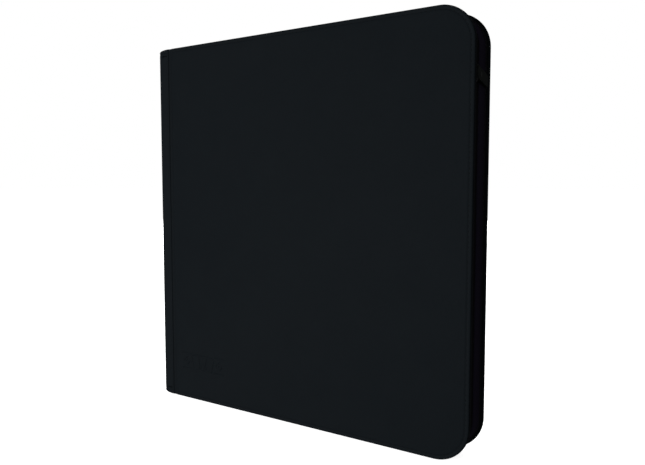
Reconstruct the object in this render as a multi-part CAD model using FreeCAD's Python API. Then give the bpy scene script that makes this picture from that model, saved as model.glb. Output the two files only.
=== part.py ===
"""Zip-round trading card binder with twenty fixed leaves of twelve double-sided pockets.

Frame, in millimetres: +Z is up with the binder standing on its lower edge, the spine is at -X,
the zip opening at +X, the front cover at -Y and the back cover at +Y. The origin is the centre
of the footprint. "Recess" is a depth measured inwards from the outline of the covers.
"""
import FreeCAD, Part

import math
import os

V = FreeCAD.Vector

# ---- overall sizes -------------------------------------------------------------------------
WIDTH = 332.0            # spine face to opening edge
HEIGHT = 350.0           # lower edge to upper edge
DEPTH = 34.6             # front face to back face, closed
CORNER_R = 29.0          # rounded corners on the opening side
SPINE_R = 6.0            # rounded edges of the spine block
EDGE_R = 1.2             # soft outer edge of every covered panel

# ---- covered panels: skin, stiff board, lining ----------------------------------------------
SKIN_T = 1.0
BOARD_T = 2.2
LINING_T = 0.8
TURN_IN = 2.0            # width of skin turned over the inner rim
PANEL_T = SKIN_T + BOARD_T + LINING_T

# ---- spine and its hinge grooves ------------------------------------------------------------
SPINE_SHOULDER = 15.5    # how far the spine block wraps onto front and back
GROOVE_W = 4.0
GROOVE_DEPTH = 0.9
HINGE_T = 1.4            # skin and lining welded together in the groove
HINGE_CLEAR = 0.15       # slit between hinge strip and cover edge

# ---- zip ------------------------------------------------------------------------------------
CHAIN_OFFSET = 5.0       # chain centre, from the inner face of the front cover
CHAIN_GAP = 1.8          # free gap between the two coils
COIL_W = 1.6
COIL_H = 1.4
TAPE_T = 0.55
COIL_RECESS = 3.55       # outer face of the coils
TAPE_UNDER = 2.3         # back tape lies this far under the side wall
BAND_START = 5.0         # zip and side wall start this far from the hinge axis
STOP_T = 0.4
STOP_L = 3.0
STOP_SETBACK = 14.0
END_TAB_L = 10.0
END_TAB_T = 0.9

# ---- woven side wall ------------------------------------------------------------------------
WALL_W = 9.8             # from the back lining towards the zip
WALL_T = 1.7
BINDING_W = 2.0          # tape over the seam between wall and back lining
BINDING_T = 0.7

# ---- zip slider and pull --------------------------------------------------------------------
SLIDER_Z = 299.0
SLIDER_L = 13.0
SLIDER_CLEAR = 0.25      # slider to coil
SLIDER_UNDER = 0.6       # slider to the inner side of the tape
WING_T = 0.8
FLANGE_T = 1.0
NECK_W = 1.2
NECK_L = 5.0
WING_R = 1.5
BAR_R = 0.45
BAR_EYE_CLEAR = 0.08
BAR_LIFT = 0.2           # pull's eye to the slider's outer wing
STRAP_LAYER_T = 0.65
STRAP_W = 9.7
STRAP_SIDE_CLEAR = 0.3
STRAP_TIP_CLEAR = 0.4    # strap tip to the back lining
STRAP_DROOP = 12.3       # degrees below level
STRAP_TIP_R = 1.5
RIVET_R = 0.8
RIVET_HEAD_R = 1.9
RIVET_HEAD_T = 0.3
RIVET_FROM_BAR = 5.0

# ---- leaves ---------------------------------------------------------------------------------
LEAF_COUNT = 20
LEAF_T = 0.6             # over the pockets
LEAF_SHEET_T = 0.24      # at the welds and the hinge margin
LEAF_SIDE_CLEAR = 2.4    # outermost leaf to the lining
LEAF_EDGE_RECESS = 13.0  # free edge, from the opening edge of the covers
LEAF_END_RECESS = 23.5   # top and bottom edges, from the ends of the covers
LEAF_CHAMFER = 4.0
LEAF_MARGIN = 10.0       # flexible margin before the first pockets
COLUMNS = 4
ROWS = 3
WELD_W = 3.0
CREASE_FROM_HINGE = 5.8  # leaf crease, from the hinge axis
CREASE_GAP = 0.3

# ---- leaf binding ---------------------------------------------------------------------------
STUB_T = 0.3             # fixed margin of each leaf
SLOT_CLEAR = 0.03
COMB_BASE_T = 1.5
COMB_DEPTH = 8.5
COMB_SIDE = 0.5          # comb cheek outside the outermost slots
COMB_FOOT = 15.0         # bare ends of the comb base, for the rivets
BIND_RIVET_R = 1.5
BIND_RIVET_HEAD_R = 3.0
BIND_RIVET_HEAD_T = 0.8
BIND_RIVET_CLEAR = 0.02
BIND_RIVET_SPREAD = 6.0  # each side of the middle of the spine

# ---- derived places -------------------------------------------------------------------------
X_SPINE = -WIDTH / 2
X_OPEN = WIDTH / 2
Y_FRONT = -DEPTH / 2
Y_BACK = DEPTH / 2
Y_FRONT_IN = Y_FRONT + PANEL_T
Y_BACK_IN = Y_BACK - PANEL_T
X_SHOULDER = X_SPINE + SPINE_SHOULDER
X_COVER = X_SHOULDER + GROOVE_W
X_HINGE = X_SHOULDER + GROOVE_W / 2
X_BAND = X_HINGE + BAND_START
Y_CHAIN = Y_FRONT_IN + CHAIN_OFFSET
BACK_TAPE_W = Y_BACK_IN - WALL_W + TAPE_UNDER - Y_CHAIN - CHAIN_GAP / 2
TAPE_RECESS = COIL_RECESS + COIL_H
X_CREASE = X_HINGE + CREASE_FROM_HINGE
X_STUB_BACK = X_SPINE + PANEL_T + COMB_BASE_T
LEAF_PITCH = (Y_BACK_IN - Y_FRONT_IN - 2 * LEAF_SIDE_CLEAR - LEAF_T) / (LEAF_COUNT - 1)


def extrude(edges, direction):
    """Close the edges into a face and sweep it along the direction."""
    return Part.Face(Part.Wire(edges)).extrude(direction)


def block(x0, x1, y0, y1, z0, z1):
    """Box between two corners."""
    return Part.makeBox(x1 - x0, y1 - y0, z1 - z0, V(x0, y0, z0))


def line(a, b):
    """Straight edge."""
    return Part.LineSegment(a, b).toShape()


def quarter(centre, radius, start_deg, end_deg, place):
    """Arc edge about a centre, with its plane given by the place function."""
    angles = [math.radians(a) for a in (start_deg, (start_deg + end_deg) / 2, end_deg)]
    u, v = centre
    points = [place(u + radius * math.cos(a), v + radius * math.sin(a)) for a in angles]
    return Part.Arc(*points).toShape()


def outline_run(x_left, recess, y):
    """Lower edge, rounded opening side and upper edge of the cover outline, at one recess."""
    def place(x, z):
        return V(x, y, z)

    radius = CORNER_R - recess
    right = X_OPEN - recess
    low, high = recess, HEIGHT - recess
    x_arc = X_OPEN - CORNER_R
    z_low, z_high = CORNER_R, HEIGHT - CORNER_R
    return [
        line(place(x_left, low), place(x_arc, low)),
        quarter((x_arc, z_low), radius, -90, 0, place),
        line(place(right, z_low), place(right, z_high)),
        quarter((x_arc, z_high), radius, 0, 90, place),
        line(place(x_arc, high), place(x_left, high)),
    ]


def cover_plate(x_left, recess, y0, y1):
    """Plate with the cover outline, drawn in by a recess."""
    ends = [V(x_left, y0, HEIGHT - recess), V(x_left, y0, recess)]
    return extrude(outline_run(x_left, recess, y0) + [line(*ends)], V(0, y1 - y0, 0))


def side_band(x_left, recess, thickness, y0, y1):
    """Strip that follows the lower edge, the opening side and the upper edge."""
    inner = recess + thickness
    edges = outline_run(x_left, recess, y0)
    edges += [line(V(x_left, y0, HEIGHT - recess), V(x_left, y0, HEIGHT - inner))]
    edges += outline_run(x_left, inner, y0)
    edges += [line(V(x_left, y0, inner), V(x_left, y0, recess))]
    return Part.Face(Part.Wire(Part.__sortEdges__(edges))).extrude(V(0, y1 - y0, 0))


def spine_profile(recess):
    """Half-round channel run of the spine outline, drawn in by a recess."""
    def place(x, y):
        return V(x, y, 0)

    radius = SPINE_R - recess
    x_arc = X_SPINE + SPINE_R
    y_arc = Y_BACK - SPINE_R
    return radius, x_arc, y_arc, place


def spine_channel(recess, thickness, x_end, z_inset):
    """Channel that wraps the leaf edges: spine wall with its two shoulders."""
    radius, x_arc, y_arc, place = spine_profile(recess)
    inner_r = radius - thickness
    inner = recess + thickness
    y_out = Y_BACK - recess
    y_in = Y_BACK - inner
    x_out = X_SPINE + recess
    x_in = X_SPINE + inner
    edges = [
        line(place(x_end, y_out), place(x_arc, y_out)),
        quarter((x_arc, y_arc), radius, 90, 180, place),
        line(place(x_out, y_arc), place(x_out, -y_arc)),
        quarter((x_arc, -y_arc), radius, 180, 270, place),
        line(place(x_arc, -y_out), place(x_end, -y_out)),
        line(place(x_end, -y_out), place(x_end, -y_in)),
        line(place(x_end, -y_in), place(x_arc, -y_in)),
        quarter((x_arc, -y_arc), inner_r, 270, 180, place),
        line(place(x_in, -y_arc), place(x_in, y_arc)),
        quarter((x_arc, y_arc), inner_r, 180, 90, place),
        line(place(x_arc, y_in), place(x_end, y_in)),
        line(place(x_end, y_in), place(x_end, y_out)),
    ]
    channel = extrude(edges, V(0, 0, HEIGHT - 2 * z_inset))
    channel.translate(V(0, 0, z_inset))
    return channel


def edges_on(shape, test):
    """Edges whose every point passes the test."""
    found = []
    for edge in shape.Edges:
        points = edge.discretize(Number=5)
        if all(test(p) for p in points):
            found.append(edge)
    return found


def mirror_y(shape):
    """Mirror image across the middle plane of the binder."""
    return shape.mirror(V(0, 0, 0), V(0, 1, 0))


def cover_layers():
    """Skin, board and lining of the front cover."""
    skin = cover_plate(X_COVER, 0, Y_FRONT, Y_FRONT_IN)
    soft = edges_on(skin, lambda p: abs(p.y - Y_FRONT) < 1e-6)
    skin = skin.makeFillet(min(EDGE_R, 0.4 * PANEL_T), soft)
    y_board = Y_FRONT + SKIN_T
    y_lining = y_board + BOARD_T
    board = cover_plate(X_COVER + SKIN_T, SKIN_T, y_board, y_lining)
    lining = cover_plate(X_COVER + TURN_IN, TURN_IN, y_lining, Y_FRONT_IN)
    return skin.cut([board, lining]), board, lining


def spine_layers():
    """Skin, board and lining of the spine, with holes for the binding rivets."""
    skin = spine_channel(0, PANEL_T, X_SHOULDER, 0)
    soft = edges_on(skin, lambda p: is_spine_end_edge(p))
    skin = skin.makeFillet(min(EDGE_R, 0.4 * PANEL_T), soft)
    board = spine_channel(SKIN_T, BOARD_T, X_SHOULDER - SKIN_T, SKIN_T)
    lining = spine_channel(SKIN_T + BOARD_T, LINING_T, X_SHOULDER - TURN_IN, TURN_IN)
    skin = skin.cut([board, lining])
    holes = binding_rivet_holes()
    return skin, board.cut(holes), lining.cut(holes)


def is_spine_end_edge(p):
    """True on the outer edge of the spine block's top and bottom."""
    on_end = min(abs(p.z), abs(p.z - HEIGHT)) < 1e-6
    radius, x_arc, y_arc, _ = spine_profile(0)
    if p.x >= x_arc:
        on_face = abs(abs(p.y) - Y_BACK) < 1e-6
    elif abs(p.y) <= y_arc:
        on_face = abs(p.x - X_SPINE) < 1e-6
    else:
        on_face = abs(math.hypot(p.x - x_arc, abs(p.y) - y_arc) - radius) < 1e-6
    return on_end and on_face


def hinge_strip():
    """Flexible strip at the bottom of the front hinge groove."""
    y0 = Y_FRONT + GROOVE_DEPTH
    return block(X_SHOULDER, X_COVER - HINGE_CLEAR, y0, y0 + HINGE_T, 0, HEIGHT)


def binding_rivet_places():
    """Centres of the binding rivets, at both ends of the comb base."""
    z_low = LEAF_END_RECESS - COMB_FOOT / 2
    return [(y, z) for z in (z_low, HEIGHT - z_low) for y in (-BIND_RIVET_SPREAD, BIND_RIVET_SPREAD)]


def binding_rivet_holes():
    """Cylinders that cut the rivet holes from the comb base to the spine skin."""
    length = LINING_T + BOARD_T + COMB_BASE_T
    return [Part.makeCylinder(BIND_RIVET_R, length, V(X_SPINE + SKIN_T, y, z), V(1, 0, 0))
            for y, z in binding_rivet_places()]


def binding_rivets():
    """Four rivets, each a shank with a flat head over the comb base."""
    x_head = X_STUB_BACK
    rivets = []
    for y, z in binding_rivet_places():
        length = x_head - X_SPINE - SKIN_T
        shank = Part.makeCylinder(BIND_RIVET_R - BIND_RIVET_CLEAR, length, V(X_SPINE + SKIN_T, y, z), V(1, 0, 0))
        head = Part.makeCylinder(BIND_RIVET_HEAD_R, BIND_RIVET_HEAD_T, V(x_head, y, z), V(1, 0, 0))
        rivets.append(shank.fuse(head).removeSplitter())
    return Part.makeCompound(rivets)


def leaf_plane(index):
    """Middle plane of a leaf, counted from the front."""
    return Y_FRONT_IN + LEAF_SIDE_CLEAR + LEAF_T / 2 + index * LEAF_PITCH


def leaf_stub(index):
    """Fixed margin of one leaf, from the comb to the crease."""
    y = leaf_plane(index)
    x_end = X_CREASE - CREASE_GAP / 2
    half = STUB_T / 2
    return block(X_STUB_BACK, x_end, y - half, y + half, LEAF_END_RECESS, HEIGHT - LEAF_END_RECESS)


def binding_comb():
    """Slotted bar on the spine lining that grips the leaf margins."""
    x_base = X_SPINE + PANEL_T
    half = leaf_plane(LEAF_COUNT - 1) + STUB_T / 2 + COMB_SIDE
    z0, z1 = LEAF_END_RECESS, HEIGHT - LEAF_END_RECESS
    base = block(x_base, X_STUB_BACK, -half, half, z0 - COMB_FOOT, z1 + COMB_FOOT)
    bar = block(x_base, x_base + COMB_DEPTH, -half, half, z0, z1)
    gap = STUB_T / 2 + SLOT_CLEAR
    slots = []
    for index in range(LEAF_COUNT):
        y = leaf_plane(index)
        slots.append(block(X_STUB_BACK, x_base + 2 * COMB_DEPTH, y - gap, y + gap, z0 - 1, z1 + 1))
    return base.fuse(bar).removeSplitter().cut(slots + binding_rivet_holes())


def pocket_leaf():
    """Leaf in the plane Y = 0: thin sheet, raised pockets on both faces, clipped free corners."""
    x0 = X_CREASE + CREASE_GAP / 2
    x1 = X_OPEN - LEAF_EDGE_RECESS
    z0, z1 = LEAF_END_RECESS, HEIGHT - LEAF_END_RECESS
    cut = LEAF_CHAMFER
    half = LEAF_SHEET_T / 2
    corners = [V(x0, -half, z0), V(x1 - cut, -half, z0), V(x1, -half, z0 + cut),
               V(x1, -half, z1 - cut), V(x1 - cut, -half, z1), V(x0, -half, z1)]
    edges = [line(a, b) for a, b in zip(corners, corners[1:] + corners[:1])]
    sheet = extrude(edges, V(0, LEAF_SHEET_T, 0))
    cell_w = (x1 - x0 - LEAF_MARGIN - WELD_W) / COLUMNS
    cell_h = (z1 - z0 - WELD_W) / ROWS
    pockets = []
    for column in range(COLUMNS):
        for row in range(ROWS):
            px = x0 + LEAF_MARGIN + WELD_W / 2 + column * cell_w + WELD_W / 2
            pz = z0 + WELD_W + row * cell_h
            pockets.append(block(px, px + cell_w - WELD_W, -LEAF_T / 2, LEAF_T / 2,
                                 pz, pz + cell_h - WELD_W))
    return sheet.fuse(pockets)


def zip_coil(side):
    """Coil of one zip half; side is -1 at the front, +1 at the back."""
    near = Y_CHAIN + side * CHAIN_GAP / 2
    far = near + side * COIL_W
    return side_band(X_BAND, COIL_RECESS, COIL_H, min(near, far), max(near, far))


def zip_stops(side):
    """Two small clips over the ends of one coil."""
    near = Y_CHAIN + side * CHAIN_GAP / 2
    far = near + side * COIL_W
    y0, y1 = min(near, far), max(near, far)
    x0 = X_BAND + STOP_SETBACK
    clips = []
    for upper in (False, True):
        outer = [COIL_RECESS - STOP_T, TAPE_RECESS]
        inner = [COIL_RECESS, TAPE_RECESS]
        if upper:
            outer = [HEIGHT - d for d in reversed(outer)]
            inner = [HEIGHT - d for d in reversed(inner)]
        clip = block(x0, x0 + STOP_L, y0 - STOP_T, y1 + STOP_T, *outer)
        clips.append(clip.cut(block(x0 - 1, x0 + STOP_L + 1, y0, y1, *inner)))
    return Part.makeCompound(clips)


def zip_end_tabs():
    """Folded tabs over the coil ends next to the spine."""
    y0 = Y_CHAIN + CHAIN_GAP / 2
    y1 = Y_BACK_IN - WALL_W
    low = block(X_BAND, X_BAND + END_TAB_L, y0, y1, COIL_RECESS - END_TAB_T, COIL_RECESS)
    high = low.copy()
    high.translate(V(0, 0, HEIGHT - 2 * COIL_RECESS + END_TAB_T))
    return Part.makeCompound([low, high])


def wing(x0, x1, y0, y1):
    """Slider wing with rounded corners."""
    z0 = SLIDER_Z - SLIDER_L / 2
    plate = block(x0, x1, y0, y1, z0, z0 + SLIDER_L)
    corners = [e for e in plate.Edges if abs(e.tangentAt(e.FirstParameter).x) > 0.9]
    return plate.makeFillet(WING_R, corners)


def slider_body():
    """Two wings joined by the dividing neck, with a guide flange beside the back coil."""
    half = CHAIN_GAP / 2 + COIL_W + SLIDER_CLEAR + FLANGE_T
    x_outer = X_OPEN - COIL_RECESS + SLIDER_CLEAR
    x_inner = X_OPEN - TAPE_RECESS - TAPE_T - SLIDER_UNDER
    y_neck0, y_neck1 = Y_CHAIN - NECK_W / 2, Y_CHAIN + NECK_W / 2
    outer = wing(x_outer, x_outer + WING_T, Y_CHAIN - half, Y_CHAIN + half)
    inner = wing(x_inner - WING_T, x_inner, y_neck0 - CHAIN_GAP, Y_CHAIN + half)
    z1 = SLIDER_Z + SLIDER_L / 2 - WING_R
    neck = block(x_inner, x_outer, y_neck0, y_neck1, z1 - NECK_L, z1)
    z0 = SLIDER_Z - SLIDER_L / 2 + WING_R
    flange = block(X_OPEN - TAPE_RECESS + SLIDER_CLEAR, x_outer, Y_CHAIN + half - FLANGE_T, Y_CHAIN + half, z0, z1)
    return outer.fuse([inner, neck, flange]).removeSplitter()


def bar_x():
    """Depth of the pull bar's axis."""
    wing_face = X_OPEN - COIL_RECESS + SLIDER_CLEAR + WING_T
    return wing_face + BAR_LIFT + BAR_R + BAR_EYE_CLEAR + STRAP_LAYER_T


def slider_bail():
    """Round bar on two posts, which carries the pull."""
    x_bar = bar_x()
    wing_face = X_OPEN - COIL_RECESS + SLIDER_CLEAR + WING_T
    reach = STRAP_W / 2 + STRAP_SIDE_CLEAR + BAR_R
    bar = Part.makeCylinder(BAR_R, 2 * reach, V(x_bar, Y_CHAIN, SLIDER_Z - reach), V(0, 0, 1))
    shapes = []
    for z in (SLIDER_Z - reach, SLIDER_Z + reach):
        shapes.append(Part.makeCylinder(BAR_R, x_bar - wing_face, V(wing_face, Y_CHAIN, z), V(1, 0, 0)))
        shapes.append(Part.makeSphere(BAR_R, V(x_bar, Y_CHAIN, z)))
    return bar.fuse(shapes).removeSplitter()


def strap_middle(y):
    """Height of the strap's centre line at a distance from the front."""
    return SLIDER_Z - math.tan(math.radians(STRAP_DROOP)) * (y - Y_CHAIN)


def rivet_place():
    """Centre of the rivet that closes the strap's eye."""
    y = Y_CHAIN + RIVET_FROM_BAR
    return y, strap_middle(y)


def pull_strap():
    """Leather strip folded round the bar, its two layers lying together, drooping to the back."""
    x = bar_x()
    eye = BAR_R + BAR_EYE_CLEAR
    outer = eye + STRAP_LAYER_T
    y_join = Y_CHAIN + 2 * outer
    y_tip = Y_BACK_IN - STRAP_TIP_CLEAR
    layers = STRAP_LAYER_T
    profile = [
        Part.Arc(V(x - outer, Y_CHAIN, 0), V(x, Y_CHAIN - outer, 0), V(x + outer, Y_CHAIN, 0)).toShape(),
        line(V(x + outer, Y_CHAIN, 0), V(x + layers, y_join, 0)),
        line(V(x + layers, y_join, 0), V(x + layers, y_tip, 0)),
        line(V(x + layers, y_tip, 0), V(x - layers, y_tip, 0)),
        line(V(x - layers, y_tip, 0), V(x - layers, y_join, 0)),
        line(V(x - layers, y_join, 0), V(x - outer, Y_CHAIN, 0)),
    ]
    hole = [
        Part.Arc(V(x - eye, Y_CHAIN, 0), V(x, Y_CHAIN - eye, 0), V(x + eye, Y_CHAIN, 0)).toShape(),
        line(V(x + eye, Y_CHAIN, 0), V(x, Y_CHAIN + 2 * eye, 0)),
        line(V(x, Y_CHAIN + 2 * eye, 0), V(x - eye, Y_CHAIN, 0)),
    ]
    reach = 2 * (y_tip - Y_CHAIN) + STRAP_W
    band = extrude(profile, V(0, 0, reach)).cut(extrude(hole, V(0, 0, reach)))
    band.translate(V(0, 0, SLIDER_Z - reach / 2))
    y_eye = Y_CHAIN - 2 * outer
    half = STRAP_W / 2
    corners = [V(x - 2 * outer, y_eye, SLIDER_Z - half), V(x - 2 * outer, Y_CHAIN, SLIDER_Z - half),
               V(x - 2 * outer, y_tip, strap_middle(y_tip) - half),
               V(x - 2 * outer, y_tip, strap_middle(y_tip) + half),
               V(x - 2 * outer, Y_CHAIN, SLIDER_Z + half), V(x - 2 * outer, y_eye, SLIDER_Z + half)]
    edges = [line(a, b) for a, b in zip(corners, corners[1:] + corners[:1])]
    trim = extrude(edges, V(4 * outer, 0, 0))
    tip = edges_on(trim, lambda p: abs(p.y - y_tip) < 1e-6)
    tip = [e for e in tip if abs(e.tangentAt(e.FirstParameter).x) > 0.9]
    trim = trim.makeFillet(STRAP_TIP_R, tip)
    y, z = rivet_place()
    rivet_hole = Part.makeCylinder(RIVET_R, 4 * outer, V(x - 2 * outer, y, z), V(1, 0, 0))
    return band.common(trim).cut(rivet_hole)


def pull_rivet():
    """Small rivet through both layers of the strap."""
    x = bar_x()
    y, z = rivet_place()
    t = STRAP_LAYER_T
    shank = Part.makeCylinder(RIVET_R - BIND_RIVET_CLEAR, 2 * t, V(x - t, y, z), V(1, 0, 0))
    heads = [Part.makeCylinder(RIVET_HEAD_R, RIVET_HEAD_T, V(start, y, z), V(1, 0, 0))
             for start in (x - t - RIVET_HEAD_T, x + t)]
    return shank.fuse(heads).removeSplitter()


def build_parts():
    """Every piece of the binder by node name."""
    skin, board, lining = cover_layers()
    spine_skin, spine_board, spine_lining = spine_layers()
    y_wall = Y_BACK_IN - WALL_W
    y_front_coil = Y_CHAIN - CHAIN_GAP / 2
    y_back_coil = Y_CHAIN + CHAIN_GAP / 2
    parts = {
        "front_skin": skin,
        "front_board": board,
        "front_lining": lining,
        "back_skin": mirror_y(skin),
        "back_board": mirror_y(board),
        "back_lining": mirror_y(lining),
        "spine_skin": spine_skin,
        "spine_board": spine_board,
        "spine_lining": spine_lining,
        "front_hinge_strip": hinge_strip(),
        "back_hinge_strip": mirror_y(hinge_strip()),
        "side_wall": side_band(X_BAND, TAPE_RECESS - WALL_T, WALL_T, y_wall, Y_BACK_IN),
        "wall_binding": side_band(X_BAND, TAPE_RECESS, BINDING_T, Y_BACK_IN - BINDING_W, Y_BACK_IN),
        "front_zip_tape": side_band(X_BAND, TAPE_RECESS, TAPE_T, Y_FRONT_IN, y_front_coil),
        "back_zip_tape": side_band(X_BAND, TAPE_RECESS, TAPE_T, y_back_coil, y_back_coil + BACK_TAPE_W),
        "front_zip_coil": zip_coil(-1),
        "back_zip_coil": zip_coil(1),
        "front_zip_stops": zip_stops(-1),
        "back_zip_stops": zip_stops(1),
        "zip_end_tabs": zip_end_tabs(),
        "slider_body": slider_body(),
        "slider_bail": slider_bail(),
        "pull_strap": pull_strap(),
        "pull_rivet": pull_rivet(),
        "binding_comb": binding_comb(),
        "binding_rivets": binding_rivets(),
        "leaf_margins": Part.makeCompound([leaf_stub(i) for i in range(LEAF_COUNT)]),
    }
    leaf = pocket_leaf()
    for index in range(LEAF_COUNT):
        copy = leaf.copy()
        copy.translate(V(0, leaf_plane(index), 0))
        parts["leaf_%02d" % (index + 1)] = copy
    return parts


os.makedirs("parts", exist_ok=True)
for node, shape in build_parts().items():
    shape.exportStep("parts/%s.step" % node)
    box = shape.BoundBox
    print("%-18s solids %2d valid %s volume %10.1f  X %.2f %.2f  Y %.2f %.2f  Z %.2f %.2f" % (
        node, len(shape.Solids), shape.isValid(), shape.Volume,
        box.XMin, box.XMax, box.YMin, box.YMax, box.ZMin, box.ZMax))
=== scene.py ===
"""Looks of a zip-round trading card binder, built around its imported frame.

Shapes are worked out in millimetres in the frame's own axes: +Z up along the spine, -Y out of the
front cover, +X towards the zip opening. Meshes are made in metres.
"""

import logging
import math
from dataclasses import dataclass
from enum import Enum
from typing import Callable, Sequence

import bmesh
import bpy
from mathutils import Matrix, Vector
from mathutils.geometry import delaunay_2d_cdt


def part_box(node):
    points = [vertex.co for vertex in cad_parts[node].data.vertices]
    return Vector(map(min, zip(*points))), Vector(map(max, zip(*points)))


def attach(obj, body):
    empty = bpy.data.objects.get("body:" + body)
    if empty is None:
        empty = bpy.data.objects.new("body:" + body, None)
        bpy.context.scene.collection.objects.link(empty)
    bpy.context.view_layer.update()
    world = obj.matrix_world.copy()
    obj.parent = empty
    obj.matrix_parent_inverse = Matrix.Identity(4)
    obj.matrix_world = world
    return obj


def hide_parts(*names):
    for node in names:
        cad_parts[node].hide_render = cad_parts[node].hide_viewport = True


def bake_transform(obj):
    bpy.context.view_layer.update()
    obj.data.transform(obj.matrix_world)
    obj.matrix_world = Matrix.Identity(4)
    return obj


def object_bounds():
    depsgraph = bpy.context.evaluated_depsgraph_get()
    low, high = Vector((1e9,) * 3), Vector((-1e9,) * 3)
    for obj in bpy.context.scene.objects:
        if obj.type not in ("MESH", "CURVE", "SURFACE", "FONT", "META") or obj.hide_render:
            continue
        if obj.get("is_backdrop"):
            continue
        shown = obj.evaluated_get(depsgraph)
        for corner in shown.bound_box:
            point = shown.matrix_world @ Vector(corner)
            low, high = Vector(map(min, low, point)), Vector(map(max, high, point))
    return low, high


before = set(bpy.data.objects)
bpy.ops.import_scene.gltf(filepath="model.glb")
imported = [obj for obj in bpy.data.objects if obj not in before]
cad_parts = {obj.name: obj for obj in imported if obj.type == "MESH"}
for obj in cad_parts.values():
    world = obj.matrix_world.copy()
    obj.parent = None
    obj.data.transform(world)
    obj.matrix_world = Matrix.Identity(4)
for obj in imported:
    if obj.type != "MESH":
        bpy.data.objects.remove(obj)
CAD_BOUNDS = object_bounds()

LOG = logging.getLogger("card_binder")
MM = 0.001

Point2 = tuple[float, float]
Point3 = tuple[float, float, float]
Placement = Callable[[float, float, float], Point3]


class Side(Enum):
    """The two covers, by the sign of their outward Y direction."""

    FRONT = -1
    BACK = 1

    @property
    def word(self) -> str:
        """Front or back, for names."""
        return self.name.lower()

    @property
    def body(self) -> str:
        """The body of this cover."""
        return f"{self.word}_cover"


class Cap(Enum):
    """How the outer face of a covered panel is closed inside its last ring."""

    STRIPS = "strips"
    EMBLEM = "emblem"


def smooth_step(low: float, high: float, value: float) -> float:
    """Ease from 0 at low to 1 at high."""
    t = max(0.0, min(1.0, (value - low) / (high - low)))
    return t * t * (3 - 2 * t)


# ------------------------------------------------------------------------------ frame sizes


@dataclass(frozen=True)
class BinderSizes:
    """Sizes read from the frame, in millimetres."""

    x_spine: float
    x_shoulder: float
    x_cover: float
    x_open: float
    y_front: float
    y_front_in: float
    y_back_in: float
    y_back: float
    height: float
    corner_r: float = 29.0
    spine_r: float = 6.0

    @classmethod
    def from_frame(cls) -> "BinderSizes":
        """Read the covers and the spine from the frame's own boxes."""
        front_low, front_high = node_box("front_skin")
        back_low, back_high = node_box("back_skin")
        spine_low, spine_high = node_box("spine_skin")
        return cls(
            x_spine=spine_low.x, x_shoulder=spine_high.x, x_cover=front_low.x, x_open=front_high.x,
            y_front=front_low.y, y_front_in=front_high.y, y_back_in=back_low.y, y_back=back_high.y,
            height=front_high.z)

    @property
    def panel_t(self) -> float:
        """Thickness of a cover with its lining."""
        return self.y_front_in - self.y_front


def node_box(node: str) -> tuple[Vector, Vector]:
    """Lowest and highest corner of a frame node.

    Args:
        node: Name of the node.

    Returns:
        The two corners in millimetres.
    """
    low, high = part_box(node)
    return low / MM, high / MM


# ------------------------------------------------------------------------------ mesh making


class MeshMaker:
    """Collects vertices and faces in millimetres and turns them into a closed piece."""

    def __init__(self) -> None:
        """Start with nothing."""
        self.points: list[Point3] = []
        self.faces: list[tuple[int, ...]] = []

    def add(self, points: Sequence[Point3]) -> list[int]:
        """Add vertices.

        Args:
            points: Vertices in millimetres.

        Returns:
            Their indices.
        """
        start = len(self.points)
        self.points.extend(points)
        return list(range(start, len(self.points)))

    def bridge(self, first: Sequence[int], second: Sequence[int], closed: bool = True) -> None:
        """Join two equal runs of vertices with quads.

        Args:
            first: Indices of one run.
            second: Indices of the other run.
            closed: Whether the runs are loops.
        """
        count = len(first)
        for i in range(count if closed else count - 1):
            j = (i + 1) % count
            self.faces.append((first[i], first[j], second[j], second[i]))

    def loft(self, rings: Sequence[Sequence[Point3]], capped: bool = True) -> list[list[int]]:
        """Skin a row of closed rings.

        Args:
            rings: Rings with the same number of points.
            capped: Whether to close both ends with one face each.

        Returns:
            The indices of every ring.
        """
        made = [self.add(ring) for ring in rings]
        for first, second in zip(made, made[1:]):
            self.bridge(first, second)
        if capped:
            self.faces.append(tuple(reversed(made[0])))
            self.faces.append(tuple(made[-1]))
        return made

    def tube(self, path: Sequence[Point3], radius: float, sides: int) -> None:
        """Round bar along a path, closed at both ends.

        Args:
            path: Centre line.
            radius: Radius of the bar.
            sides: Number of flats round it.
        """
        points = [Vector(p) for p in path]
        normal = None
        rings = []
        for i, point in enumerate(points):
            along = (points[min(i + 1, len(points) - 1)] - points[max(i - 1, 0)]).normalized()
            if normal is None:
                helper = Vector((0, 0, 1)) if abs(along.z) < 0.9 else Vector((1, 0, 0))
                normal = along.cross(helper).normalized()
            normal = (normal - along * normal.dot(along)).normalized()
            other = along.cross(normal)
            turn = [2 * math.pi * k / sides for k in range(sides)]
            rings.append([tuple(point + (normal * math.cos(a) + other * math.sin(a)) * radius) for a in turn])
        self.loft(rings)

    def piece(self, name: str, finish: "Finish", sharp_deg: float = 40.0) -> bpy.types.Object:
        """Make the object, with merged doubles and outward normals.

        Args:
            name: Name of the piece.
            finish: What it is made of.
            sharp_deg: Edges sharper than this stay crisp.

        Returns:
            The linked object.
        """
        mesh = bpy.data.meshes.new(name)
        mesh.from_pydata([tuple(c * MM for c in p) for p in self.points], [], self.faces)
        work = bmesh.new()
        work.from_mesh(mesh)
        bmesh.ops.remove_doubles(work, verts=work.verts, dist=0.002 * MM)
        bmesh.ops.dissolve_degenerate(work, edges=work.edges, dist=0.001 * MM)
        bmesh.ops.recalc_face_normals(work, faces=work.faces)
        work.to_mesh(mesh)
        work.free()
        mesh.shade_smooth()
        mesh.set_sharp_from_angle(angle=math.radians(sharp_deg))
        made = bpy.data.objects.new(name, mesh)
        bpy.context.scene.collection.objects.link(made)
        made.data.materials.append(finish.material())
        return made


def report(piece: bpy.types.Object, body: str) -> None:
    """Log one finished piece with its body."""
    LOG.info("%-26s on %-12s %6d faces", piece.name, body, len(piece.data.polygons))


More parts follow.
